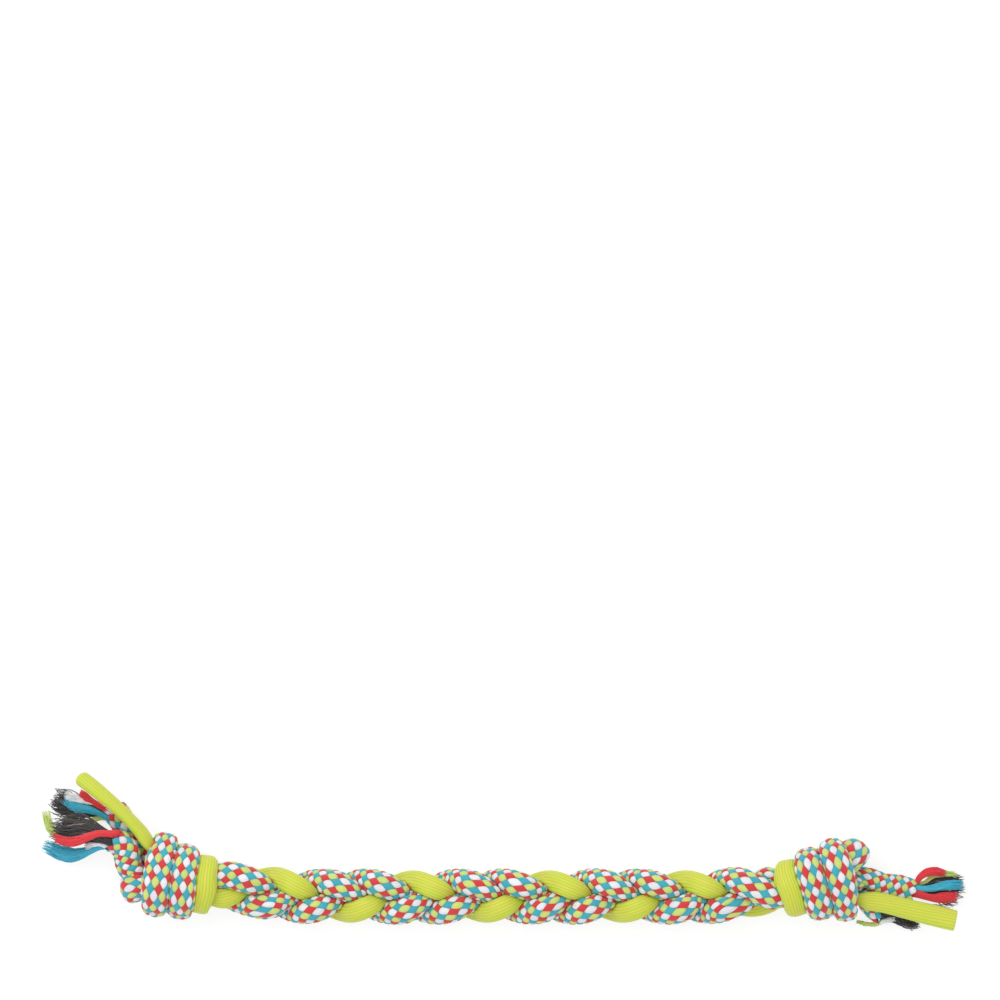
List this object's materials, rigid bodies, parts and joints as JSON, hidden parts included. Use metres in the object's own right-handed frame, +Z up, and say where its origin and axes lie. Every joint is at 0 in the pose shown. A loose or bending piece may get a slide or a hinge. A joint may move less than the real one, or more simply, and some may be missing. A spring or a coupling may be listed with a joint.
{
  "type": "rope dog toy",
  "caption": "Tug rope for dogs: checked braided ropes and a flat ribbed rubber cord plaited together, knotted at each end, the rope ends frayed.",
  "frame": {"origin": "middle of the box the toy fills, on the surface it lies on", "axes": "+X along the toy towards the end with the long flat cord end, +Y across it, +Z up from the surface"},
  "size_m": [0.498, 0.0856, 0.0395],
  "materials": {
    "sheath": "braided synthetic yarn in red, blue, white and lime",
    "rubber": "satin, finely ribbed along its length",
    "core_yarn": "loose black yarn",
    "red_yarn": "loose red yarn",
    "blue_yarn": "loose blue yarn",
    "white_yarn": "loose white yarn",
    "green_yarn": "loose lime yarn"
  },
  "bodies": {
    "braid_middle": {"rubber_cord_braid_middle": "rubber", "rope_a_braid_middle": "sheath", "rope_b_braid_middle": "sheath"},
    "braid_left": {"rubber_cord_braid_left": "rubber", "rope_a_braid_left": "sheath", "rope_b_braid_left": "sheath"},
    "left_knot": {"rubber_cord_left_knot": "rubber", "rope_a_left_knot": "sheath", "rope_b_left_knot": "sheath"},
    "left_cord_tail": {"rubber_cord_left_tail": "rubber"},
    "left_rope_a_tail": {"rope_a_left_tail": "sheath", "rope_a_left_core": "core_yarn", "rope_a_left_red_yarns": "red_yarn", "rope_a_left_blue_yarns": "blue_yarn", "rope_a_left_white_yarns": "white_yarn", "rope_a_left_green_yarns": "green_yarn"},
    "left_rope_b_tail": {"rope_b_left_tail": "sheath", "rope_b_left_core": "core_yarn", "rope_b_left_red_yarns": "red_yarn", "rope_b_left_blue_yarns": "blue_yarn", "rope_b_left_white_yarns": "white_yarn", "rope_b_left_green_yarns": "green_yarn"},
    "braid_right": {"rubber_cord_braid_right": "rubber", "rope_a_braid_right": "sheath", "rope_b_braid_right": "sheath"},
    "right_knot": {"rubber_cord_right_knot": "rubber", "rope_a_right_knot": "sheath", "rope_b_right_knot": "sheath"},
    "right_cord_tail": {"rubber_cord_right_tail": "rubber"},
    "right_rope_a_tail": {"rope_a_right_tail": "sheath", "rope_a_right_core": "core_yarn", "rope_a_right_red_yarns": "red_yarn", "rope_a_right_low_red_yarns": "red_yarn", "rope_a_right_blue_yarns": "blue_yarn", "rope_a_right_white_yarns": "white_yarn", "rope_a_right_green_yarns": "green_yarn"},
    "right_rope_b_tail": {"rope_b_right_tail": "sheath", "rope_b_right_core": "core_yarn", "rope_b_right_red_yarns": "red_yarn", "rope_b_right_blue_yarns": "blue_yarn", "rope_b_right_white_yarns": "white_yarn", "rope_b_right_green_yarns": "green_yarn"}
  },
  "joints": [
    {"name": "left_bend", "type": "hinge", "parent": "braid_middle", "child": "braid_left", "pos_m": [-0.04832, -0.02519, 0.0121], "axis": [0, 0, 1], "range_deg": [-40, 40]},
    {"name": "right_bend", "type": "hinge", "parent": "braid_middle", "child": "braid_right", "pos_m": [0.04168, -0.02519, 0.0121], "axis": [0, 0, 1], "range_deg": [-40, 40]},
    {"name": "left_neck", "type": "hinge", "parent": "braid_left", "child": "left_knot", "pos_m": [-0.13632, -0.02089, 0.01542], "axis": [0, 0, 1], "range_deg": [-40, 40]},
    {"name": "right_neck", "type": "hinge", "parent": "braid_right", "child": "right_knot", "pos_m": [0.12968, -0.02396, 0.01542], "axis": [0, 0, 1], "range_deg": [-40, 40]},
    {"name": "left_cord_tail_swing", "type": "hinge", "parent": "left_knot", "child": "left_cord_tail", "pos_m": [-0.20208, 0.01945, 0.02132], "axis": [0, 0, 1], "range_deg": [-24, 3]},
    {"name": "left_rope_a_tail_swing", "type": "hinge", "parent": "left_knot", "child": "left_rope_a_tail", "pos_m": [-0.20317, 0.01107, 0.00807], "axis": [0, 0, 1], "range_deg": [-20, 30]},
    {"name": "left_rope_b_tail_swing", "type": "hinge", "parent": "left_knot", "child": "left_rope_b_tail", "pos_m": [-0.20171, 0.00151, 0.019], "axis": [0, 0, 1], "range_deg": [0, 25]},
    {"name": "right_cord_tail_swing", "type": "hinge", "parent": "right_knot", "child": "right_cord_tail", "pos_m": [0.20007, -0.0273, 0.02077], "axis": [0, 0, 1], "range_deg": [-35, 35]},
    {"name": "right_rope_a_tail_swing", "type": "hinge", "parent": "right_knot", "child": "right_rope_a_tail", "pos_m": [0.20503, -0.01803, 0.00941], "axis": [0, 0, 1], "range_deg": [-6, 40]},
    {"name": "right_rope_b_tail_swing", "type": "hinge", "parent": "right_knot", "child": "right_rope_b_tail", "pos_m": [0.19687, -0.03134, 0.00661], "axis": [0, 0, 1], "range_deg": [-40, 6]}
  ]
}
